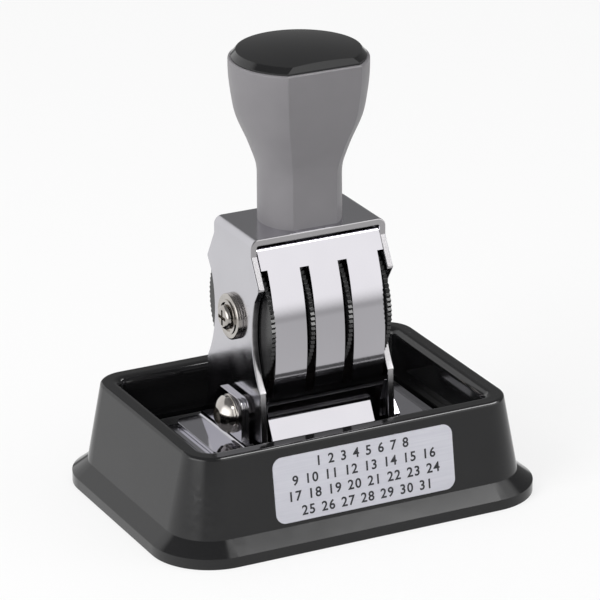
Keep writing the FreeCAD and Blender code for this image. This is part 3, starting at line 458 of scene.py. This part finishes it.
def add_piece(name: str, mesh: bpy.types.Mesh, body: str, slot: Slot,
              material: bpy.types.Material | None = None) -> bpy.types.Object:
    """Puts a mesh into the scene as a piece that rides on a body.

    Args:
        name: the piece's name.
        mesh: its mesh, already in its place at rest.
        body: the body that it moves with.
        slot: the slot that it belongs to.
        material: its own material, where it isn't the slot's.

    Returns:
        The new object.
    """
    piece = bpy.data.objects.new(name, mesh)
    bpy.context.scene.collection.objects.link(piece)
    mesh.materials.clear()
    mesh.materials.append(material or slot.material())
    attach(piece, body)
    LOG.info("built %s: %d faces", name, len(mesh.polygons))
    return piece


def mesh_from(name: str, form: bmesh.types.BMesh, smooth: bool) -> bpy.types.Mesh:
    """Turns a bmesh into a mesh with outward faces, and frees it."""
    bmesh.ops.recalc_face_normals(form, faces=form.faces)
    mesh = bpy.data.meshes.new(name)
    form.to_mesh(mesh)
    form.free()
    for face in mesh.polygons:
        face.use_smooth = smooth
    return mesh


@dataclass(frozen=True)
class Numerals:
    """Raised or printed numerals of one height, as closed solid shapes."""
    height: float
    thickness: float
    spacing: float = 1.0
    word_spacing: float = 1.0
    weight: float = 0.0
    half_depth: float = 0.5
    curve_steps: int = 3
    join_gap: float = 1e-5

    def shape(self, text: str) -> bmesh.types.BMesh:
        """The text in the X-Y plane, centred, with its back on z = 0.

        Args:
            text: what it says.

        Returns:
            A new bmesh that the caller frees.
        """
        curve = bpy.data.curves.new("numerals", "FONT")
        curve.body = text
        curve.extrude = self.half_depth
        curve.resolution_u = self.curve_steps
        curve.space_character = self.spacing
        curve.space_word = self.word_spacing
        curve.offset = self.weight
        letters = bpy.data.objects.new("numerals", curve)
        bpy.context.scene.collection.objects.link(letters)
        ready = letters.evaluated_get(bpy.context.evaluated_depsgraph_get())
        mesh = bpy.data.meshes.new_from_object(ready)
        bpy.data.objects.remove(letters)
        bpy.data.curves.remove(curve)
        form = bmesh.new()
        form.from_mesh(mesh)
        bpy.data.meshes.remove(mesh)
        bmesh.ops.remove_doubles(form, verts=form.verts, dist=self.join_gap)
        xs, ys = [v.co.x for v in form.verts], [v.co.y for v in form.verts]
        middle = Vector(((min(xs) + max(xs)) / 2, (min(ys) + max(ys)) / 2, -self.half_depth))
        scale = self.height / (max(ys) - min(ys))
        for vertex in form.verts:
            place = vertex.co - middle
            vertex.co = Vector((place.x * scale, place.y * scale, place.z * self.thickness))
        return form


def joined(name: str, parts: list[tuple[bmesh.types.BMesh, Matrix]]) -> bpy.types.Mesh:
    """One mesh from several shapes, each moved into place.

    Args:
        name: the new mesh's name.
        parts: the shapes, which are freed, each with its place.

    Returns:
        The joined mesh, flat shaded.
    """
    whole = bmesh.new()
    for form, place in parts:
        form.transform(place)
        if place.determinant() < 0:
            bmesh.ops.reverse_faces(form, faces=form.faces)
        part = bpy.data.meshes.new("part")
        form.to_mesh(part)
        form.free()
        whole.from_mesh(part)
        bpy.data.meshes.remove(part)
    mesh = bpy.data.meshes.new(name)
    whole.to_mesh(mesh)
    whole.free()
    return mesh


@dataclass
class PhotoCamera:
    """The photograph's own view: a long lens from the front left, above the tray.

    Its angles are in degrees, its place in metres, and its sensor and lens in millimetres.
    """
    azimuth: float = -26.69
    elevation: float = 21.27
    roll: float = -0.30
    distance: float = 1.171
    aside: float = -0.00028
    rise: float = 0.05306
    sensor: float = 36.0
    lens: float = 240.65

    def build(self) -> None:
        """Makes the camera and sets it as the scene's own."""
        turn, lift, lean = (math.radians(a) for a in (self.azimuth, self.elevation, self.roll))
        back = Vector((math.sin(turn) * math.cos(lift), -math.cos(turn) * math.cos(lift), math.sin(lift)))
        level = Vector((math.cos(turn), math.sin(turn), 0))
        upright = back.cross(level)
        right = level * math.cos(lean) + upright * math.sin(lean)
        up = upright * math.cos(lean) - level * math.sin(lean)
        data = bpy.data.cameras.new("photo_camera")
        data.sensor_width, data.lens = self.sensor, self.lens
        camera = bpy.data.objects.new("photo_camera", data)
        matrix = Matrix((right, up, back)).transposed().to_4x4()
        matrix.translation = back * self.distance + right * self.aside + up * self.rise
        camera.matrix_world = matrix
        bpy.context.scene.collection.objects.link(camera)
        bpy.context.scene.camera = camera
        LOG.info("camera placed")


@dataclass(frozen=True)
class Softbox:
    """A light of the room as the mirrors see it: a rectangle in one direction, with soft edges.

    Its half width, half height and edge are measured at a distance of 1 along its aim.
    """
    aim: tuple[float, float, float]
    across: tuple[float, float, float]
    half_width: float
    half_height: float
    strength: float
    edge: float = 0.15
    least_ahead: float = 0.05

    def shine(self, tree: bpy.types.NodeTree, way: bpy.types.NodeSocket) -> bpy.types.NodeSocket:
        """How bright the softbox is in a direction.

        Args:
            tree: the world's node tree.
            way: the socket that gives the direction.

        Returns:
            The socket that gives the brightness.
        """
        aim = Vector(self.aim).normalized()
        across = (Vector(self.across) - aim * aim.dot(Vector(self.across))).normalized()
        ahead, aside, along = [along_axis(tree, way, axis) for axis in (aim, across, aim.cross(across))]
        shown = add_node(tree, "ShaderNodeMath", {"operation": "GREATER_THAN", 1: self.least_ahead},
                         {0: ahead})
        bright = add_node(tree, "ShaderNodeMath", {"operation": "MULTIPLY", 1: self.strength},
                          {0: shown.outputs[0]})
        for offset, half in ((aside, self.half_width), (along, self.half_height)):
            ratio = add_node(tree, "ShaderNodeMath", {"operation": "DIVIDE"}, {0: offset, 1: ahead})
            size = add_node(tree, "ShaderNodeMath", {"operation": "ABSOLUTE"}, {0: ratio.outputs[0]})
            inside = add_node(tree, "ShaderNodeMapRange",
                              {"interpolation_type": "SMOOTHSTEP", "From Min": half + self.edge,
                               "From Max": half - self.edge}, {"Value": size.outputs[0]})
            bright = add_node(tree, "ShaderNodeMath", {"operation": "MULTIPLY"},
                              {0: bright.outputs[0], 1: inside.outputs["Result"]})
        return bright.outputs[0]


@dataclass(frozen=True)
class Lamp:
    """A square lamp that faces the object, in metres and watts."""
    name: str
    place: tuple[float, float, float]
    size: float
    power: float


@dataclass
class Studio:
    """A white table in a dim room, with three softboxes and a pale sheet behind."""
    floor_half: float = 4.0
    level: float = 0.52
    white: float = 1.0
    room: float = 0.2
    left_box: Softbox = Softbox((-0.98, -0.17, 0.15), (0, 1, 0), 0.58, 0.50, 2.7, 0.4)
    front_box: Softbox = Softbox((0.64, -0.58, 0.50), (1, 1, 0), 0.68, 0.66, 1.25, 0.2)
    overhead_box: Softbox = Softbox((0.64, -0.40, 0.80), (1, 0, 0), 0.40, 0.22, 9.0, 0.06)
    rear_sheet: Softbox = Softbox((-0.62, 0.78, 0.20), (1, 1, 0), 0.95, 0.60, 0.92, 0.12)
    table_front: float = 0.58
    table_rear: float = 0.88
    table_rearward: tuple[float, float, float] = (-0.5, 0.86, 0.0)
    table_begins: float = -0.03
    table_full: float = -0.13
    floor_own_share: float = 0.72
    floor_colour: str = "#F2F2F2"
    lamp_target: tuple[float, float, float] = (0, 0, 0.05)
    lamps: tuple[Lamp, ...] = (Lamp("key", (-1.1, -0.35, 0.75), 0.8, 10.5),
                               Lamp("fill", (1.0, -0.6, 0.6), 0.9, 2.5),
                               Lamp("top", (0.1, 0.2, 1.4), 1.0, 5.0))

    def build(self) -> None:
        """Makes the world, the lamps and the floor."""
        self.light_world()
        self.hang_lamps()
        self.lay_floor()
        LOG.info("studio ready")

    def light_world(self) -> None:
        """White for the camera, plain level light for the surfaces, and a room for the mirrors."""
        world = bpy.data.worlds.new("studio")
        bpy.context.scene.world = world
        world.use_nodes = True
        tree = world.node_tree
        tree.nodes.clear()
        way = add_node(tree, "ShaderNodeTexCoord").outputs["Generated"]
        bright = add_node(tree, "ShaderNodeValue")
        bright.outputs[0].default_value = self.room
        for box in (self.left_box, self.front_box, self.overhead_box, self.rear_sheet):
            bright = add_node(tree, "ShaderNodeMath", {"operation": "MAXIMUM"},
                              {0: bright.outputs[0], 1: box.shine(tree, way)})
        rearward = along_axis(tree, way, Vector(self.table_rearward))
        table = add_node(tree, "ShaderNodeMapRange",
                         {"From Min": -1.0, "To Min": self.table_front, "To Max": self.table_rear},
                         {"Value": rearward})
        rise = add_node(tree, "ShaderNodeSeparateXYZ", None, {"Vector": way})
        below = add_node(tree, "ShaderNodeMapRange",
                         {"interpolation_type": "SMOOTHSTEP", "From Min": self.table_begins,
                          "From Max": self.table_full}, {"Value": rise.outputs["Z"]})
        seen_around = add_node(tree, "ShaderNodeMix", {"data_type": "FLOAT"},
                               {0: below.outputs["Result"], 2: bright.outputs[0],
                                3: table.outputs["Result"]})
        ray = add_node(tree, "ShaderNodeLightPath")
        mirror = add_node(tree, "ShaderNodeBackground", {"Color": WHITE},
                          {"Strength": seen_around.outputs[0]})
        plain = add_node(tree, "ShaderNodeBackground", {"Color": WHITE, "Strength": self.level})
        seen = add_node(tree, "ShaderNodeBackground", {"Color": WHITE, "Strength": self.white})
        light = add_node(tree, "ShaderNodeMixShader", None,
                         {0: ray.outputs["Is Glossy Ray"], 1: plain.outputs[0], 2: mirror.outputs[0]})
        all_rays = add_node(tree, "ShaderNodeMixShader", None,
                            {0: ray.outputs["Is Camera Ray"], 1: light.outputs[0], 2: seen.outputs[0]})
        add_node(tree, "ShaderNodeOutputWorld", None, {"Surface": all_rays.outputs[0]})

    def hang_lamps(self) -> None:
        """Soft lamps that light the surfaces and stay out of the mirrors."""
        for lamp in self.lamps:
            data = bpy.data.lights.new(lamp.name, "AREA")
            data.shape, data.size, data.energy = "SQUARE", lamp.size, lamp.power
            hung = bpy.data.objects.new(lamp.name, data)
            hung.location = lamp.place
            hung.rotation_mode = "QUATERNION"
            towards = Vector(self.lamp_target) - Vector(lamp.place)
            hung.rotation_quaternion = towards.to_track_quat("-Z", "Y")
            hung.visible_glossy = False
            bpy.context.scene.collection.objects.link(hung)

    def lay_floor(self) -> None:
        """A wide pale table top that keeps a faint shadow."""
        form = bmesh.new()
        half = self.floor_half
        corners = ((-half, -half), (half, -half), (half, half), (-half, half))
        form.faces.new([form.verts.new((x, y, 0)) for x, y in corners])
        mesh = mesh_from("table_top", form, False)
        floor = bpy.data.objects.new("table_top", mesh)
        bpy.context.scene.collection.objects.link(floor)
        material = bpy.data.materials.new("white_table")
        material.use_nodes = True
        tree = material.node_tree
        tree.nodes.clear()
        ray = add_node(tree, "ShaderNodeLightPath")
        shows = add_node(tree, "ShaderNodeMath", {"operation": "MAXIMUM"},
                         {0: ray.outputs["Is Camera Ray"], 1: ray.outputs["Is Glossy Ray"]})
        through = add_node(tree, "ShaderNodeMath", {"operation": "MAXIMUM"},
                           {0: shows.outputs[0], 1: ray.outputs["Is Transmission Ray"]})
        share = add_node(tree, "ShaderNodeMath", {"operation": "MULTIPLY", 1: self.floor_own_share},
                         {0: through.outputs[0]})
        paper = add_node(tree, "ShaderNodeBsdfDiffuse", {"Color": linear(self.floor_colour)})
        glow = add_node(tree, "ShaderNodeEmission", {"Color": WHITE, "Strength": self.white})
        both = add_node(tree, "ShaderNodeMixShader", None,
                        {0: share.outputs[0], 1: paper.outputs[0], 2: glow.outputs[0]})
        add_node(tree, "ShaderNodeOutputMaterial", None, {"Surface": both.outputs[0]})
        mesh.materials.append(material)
        floor.visible_glossy = False


@dataclass
class PadTray:
    """The moulded tray with its pad case, inked pad and number label."""
    body: str = "tray"
    pad_round: float = 2.6 * MM
    pad_edge_drop: float = 0.7 * MM
    pad_waist: float = 0.35 * MM
    pad_ripple: float = 0.07 * MM
    pad_ripple_size: float = 9 * MM
    pad_ripple_layer: float = 0.3
    pad_roll: float = 1.1 * MM
    pad_belly: float = 1.1 * MM
    pad_shoulder: float = 0.8 * MM
    pad_foot_share: float = 0.985
    pad_rim_share: float = 0.994
    pad_crowding: float = 1.6
    pad_rings: int = 22
    corner_steps: int = 6
    # The label's wall leans 3.7 mm over a rise of 23.45 mm.
    wall_lean: float = math.atan2(3.7, 23.45)
    label_gauge: float = 0.3 * MM
    row_pitch: float = 4.5 * MM
    rows: tuple[tuple[int, int], ...] = ((1, 8), (9, 16), (17, 24), (25, 31))
    print_height: float = 3.0 * MM
    ink_gauge: float = 0.05 * MM
    ink_sunk_share: float = 0.4

    def build(self) -> None:
        """Dresses the tray's nodes and adds the pad and the label's numbers."""
        dress(Slot.TRAY, "tray_shell")
        dress(Slot.CASE, "pad_case")
        dress(Slot.LABEL, "number_label")
        self.make_pad()
        self.print_label()

    def pad_outline(self, half_x: float, half_y: float) -> list[tuple[float, float]]:
        """A rounded rectangle whose sides pull in a little between the corners.

        Args:
            half_x: half of its width.
            half_y: half of its depth.

        Returns:
            The points in order round the middle.
        """
        points, radius, steps = [], self.pad_round, self.corner_steps
        for quarter in range(4):
            side_x, side_y = ((1, 1), (-1, 1), (-1, -1), (1, -1))[quarter]
            for i in range(steps):
                turn = math.pi / 2 * (quarter + i / (steps - 1))
                points.append((side_x * (half_x - radius) + radius * math.cos(turn),
                               side_y * (half_y - radius) + radius * math.sin(turn)))
            last = points[-1]
            next_x, next_y = ((-1, 1), (-1, -1), (1, -1), (1, 1))[quarter]
            turn = math.pi / 2 * (quarter + 1)
            first = (next_x * (half_x - radius) + radius * math.cos(turn),
                     next_y * (half_y - radius) + radius * math.sin(turn))
            for i in range(1, 2 * steps):
                along = i / (2 * steps)
                x, y = (a + (b - a) * along for a, b in zip(last, first))
                pull = self.pad_waist * math.sin(math.pi * along)
                away = Vector((abs(last[0] - first[0]) < SAME_PLACE, abs(last[1] - first[1]) < SAME_PLACE))
                points.append((x - math.copysign(pull, x) * away[0], y - math.copysign(pull, y) * away[1]))
        return points

    def make_pad(self) -> None:
        """The felt pad as a crowned cushion with rolled edges, in the space of its solid."""
        low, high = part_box("ink_pad")
        centre_y = (low.y + high.y) / 2
        half_x, half_y = high.x, high.y - centre_y
        outline = self.pad_outline(half_x, half_y)
        count = len(outline)
        form = bmesh.new()

        def ring(share: float, z: float) -> list[bmesh.types.BMVert]:
            """One level loop of the pad's side."""
            return [form.verts.new((x * share, y * share + centre_y, z)) for x, y in outline]

        def height(x: float, y: float, share: float) -> float:
            """How high the pad's top is at a point, with its rolled edge and its ripple."""
            edge = (1 - share) * min(half_x, half_y)
            roll = math.exp(-edge / self.pad_roll)
            spot = Vector((x, y, self.pad_ripple_layer)) / self.pad_ripple_size
            wave = noise.noise(spot) * 0.5 + 0.5
            return high.z - self.pad_edge_drop * roll - self.pad_ripple * wave

        foot = ring(self.pad_foot_share, low.z)
        belly = ring(1.0, low.z + self.pad_belly)
        shoulder = ring(1.0, high.z - self.pad_edge_drop - self.pad_shoulder)
        loops = [foot, belly, shoulder]
        for i in range(self.pad_rings):
            share = 1.0 - (i / self.pad_rings) ** self.pad_crowding if i else self.pad_rim_share
            spots = [(x * share, y * share) for x, y in outline]
            loops.append([form.verts.new((x, y + centre_y, height(x, y, share))) for x, y in spots])
        for lower, upper in zip(loops, loops[1:]):
            for i in range(count):
                j = (i + 1) % count
                form.faces.new((lower[i], lower[j], upper[j], upper[i]))
        middle = form.verts.new((0, centre_y, height(0, 0, 0)))
        for i in range(count):
            form.faces.new((loops[-1][i], loops[-1][(i + 1) % count], middle))
        form.faces.new(list(reversed(foot)))
        pad = add_piece("inked_pad", mesh_from("inked_pad", form, True), self.body, Slot.PAD)
        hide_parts("ink_pad")

    def print_label(self) -> None:
        """Four rows of day numbers on the label's outer face."""
        low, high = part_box("number_label")
        outward = Vector((0, -math.cos(self.wall_lean), math.sin(self.wall_lean)))
        upward = Vector((0, math.sin(self.wall_lean), math.cos(self.wall_lean)))
        face = (low + high) / 2 + outward * self.label_gauge / 2
        numerals = Numerals(self.print_height, self.ink_gauge, spacing=1.16, word_spacing=1.2, weight=0.02)
        parts = []
        for index, (first, last) in enumerate(self.rows):
            text = " ".join(str(day) for day in range(first, last + 1))
            drop = (index - (len(self.rows) - 1) / 2) * self.row_pitch
            place = Matrix((Vector((1, 0, 0)), upward, outward)).transposed().to_4x4()
            place.translation = face - upward * drop - outward * self.ink_gauge * self.ink_sunk_share
            parts.append((numerals.shape(text), place))
        ink = MouldedPlastic("screen_printed_ink", "#232327", "#2E2E33", 0.45, ripple_depth_mm=0.0005)
        add_piece("label_numbers", joined("label_numbers", parts), self.body, Slot.LABEL, ink.material())


@dataclass
class StampFrame:
    """The bent frame with its guards, bridge, axle and screws."""
    edge_mm: float = 0.3

    def build(self) -> None:
        """Dresses the frame's nodes and breaks the edges of its sheets."""
        dress(Slot.FRAME, "frame_yoke")
        dress(Slot.GUARD, "front_guard", "rear_guard")
        dress(Slot.BRIDGE, "band_bridge", "guard_clamp_plate", "guard_spacer_plate")
        dress(Slot.AXLE, "wheel_axle")
        dress(Slot.NICKEL, "axle_screws", "axle_washers", "cup_washers", "clamp_screws", "clamp_washers",
              "spring_washers", "clamp_spacers", "handle_bolt")
        soften(self.edge_mm, "frame_yoke")


class BandText(Enum):
    """What each printing band carries, as plain numbers, from the block at the bottom towards the rear."""
    MONTH = ("month", tuple(str(n) for n in range(1, 13)))
    DAY_TENS = ("day_tens", tuple(str(n % 4) for n in range(12)))
    DAY_UNITS = ("day_units", tuple(str(n % 10) for n in range(12)))
    YEAR = ("year", tuple(str(n) for n in range(20, 32)))

    def __init__(self, stem: str, legends: tuple[str, ...]) -> None:
        self.stem = stem
        self.legends = legends


@dataclass
class PrintWheels:
    """The four thumb wheels and their rubber bands with raised numbers."""
    body: str = "dater"
    axle_z: float = 56.0 * MM
    nose_z: float = 21.9 * MM
    top_radius: float = 16.5 * MM
    nose_radius: float = 4.0 * MM
    block_rise: float = 0.8 * MM
    number_height: float = 3.4 * MM
    number_rise: float = 0.15 * MM
    sunk: float = 0.05 * MM

    def build(self) -> None:
        """Dresses the wheels and bands and raises the numbers on the bands."""
        for text in BandText:
            dress(Slot.WHEEL, text.stem + "_wheel")
            dress(Slot.BAND, text.stem + "_band")
            self.raise_numbers(text)

    def band_place(self, share: float) -> tuple[float, float, float]:
        """Where a point on the band's outside is, at a share of its length from the bottom.

        Args:
            share: from 0 to 1, starting towards the rear.

        Returns:
            The point's y and z, and the angle of its outward direction.
        """
        tilt = math.asin((self.top_radius - self.nose_radius) / (self.axle_z - self.nose_z))
        nose_arc = self.nose_radius * (math.pi / 2 - tilt)
        straight = (self.axle_z - self.nose_z) * math.cos(tilt)
        total = 2 * (nose_arc + straight) + self.top_radius * (math.pi + 2 * tilt)
        along = share * total
        if along > total / 2:
            y, z, angle = self.band_place(1 - share)
            return -y, z, math.pi - angle
        if along < nose_arc:
            angle = -math.pi / 2 + along / self.nose_radius
            return (self.nose_radius * math.cos(angle),
                    self.nose_z + self.nose_radius * math.sin(angle), angle)
        if along < nose_arc + straight:
            past = along - nose_arc
            return (self.nose_radius * math.cos(tilt) + past * math.sin(tilt),
                    self.nose_z - self.nose_radius * math.sin(tilt) + past * math.cos(tilt), -tilt)
        angle = -tilt + (along - nose_arc - straight) / self.top_radius
        return self.top_radius * math.cos(angle), self.axle_z + self.top_radius * math.sin(angle), angle

    def raise_numbers(self, text: BandText) -> None:
        """Mirror-written numbers that stand on the band's blocks."""
        low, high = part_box(text.stem + "_band")
        middle_x = (low.x + high.x) / 2
        numerals = Numerals(self.number_height, self.number_rise + self.sunk, spacing=0.95)
        parts = []
        for index, legend in enumerate(text.legends):
            y, z, angle = self.band_place(index / len(text.legends))
            outward = Vector((0, math.cos(angle), math.sin(angle)))
            onward = Vector((0, -math.sin(angle), math.cos(angle)))
            place = Matrix((Vector((1, 0, 0)), onward, outward)).transposed().to_4x4()
            place.translation = Vector((middle_x, y, z)) + outward * (self.block_rise - self.sunk)
            parts.append((numerals.shape(legend), place))
        name = text.stem + "_numbers"
        add_piece(name, joined(name, parts), self.body, Slot.BAND)


@dataclass
class PrintBase:
    """The height-adjustable base with its rubber die."""
    edge_mm: float = 0.15

    def build(self) -> None:
        """Dresses the base's nodes and breaks the edges of its sheets."""
        dress(Slot.BASE, "base_bracket", "left_wing", "right_wing", "die_plate")
        dress(Slot.DIE, "text_die")
        soften(self.edge_mm, "base_bracket", "left_wing", "right_wing")


@dataclass
class Grip:
    """The moulded handle with its cap and threaded insert."""
    def build(self) -> None:
        """Dresses the handle's nodes."""
        dress(Slot.HANDLE, "handle")
        dress(Slot.CAP, "handle_cap")
        dress(Slot.BRASS, "handle_insert")


@dataclass
class DateStamp:
    """The whole object in its studio."""
    camera: PhotoCamera = field(default_factory=PhotoCamera)
    studio: Studio = field(default_factory=Studio)
    parts: tuple = field(default_factory=lambda: (PadTray(), StampFrame(), PrintWheels(), PrintBase(),
                                                  Grip()))

    def build(self) -> None:
        """Builds the camera, the studio and every sub-assembly in order."""
        bpy.context.scene.view_settings.view_transform = "Standard"
        self.camera.build()
        self.studio.build()
        for part in self.parts:
            LOG.info("building %s", type(part).__name__)
            part.build()


def main() -> None:
    """Builds the scene."""
    logging.basicConfig(level=logging.INFO, format="%(name)s: %(message)s")
    DateStamp().build()


if __name__ == "__main__":
    main()
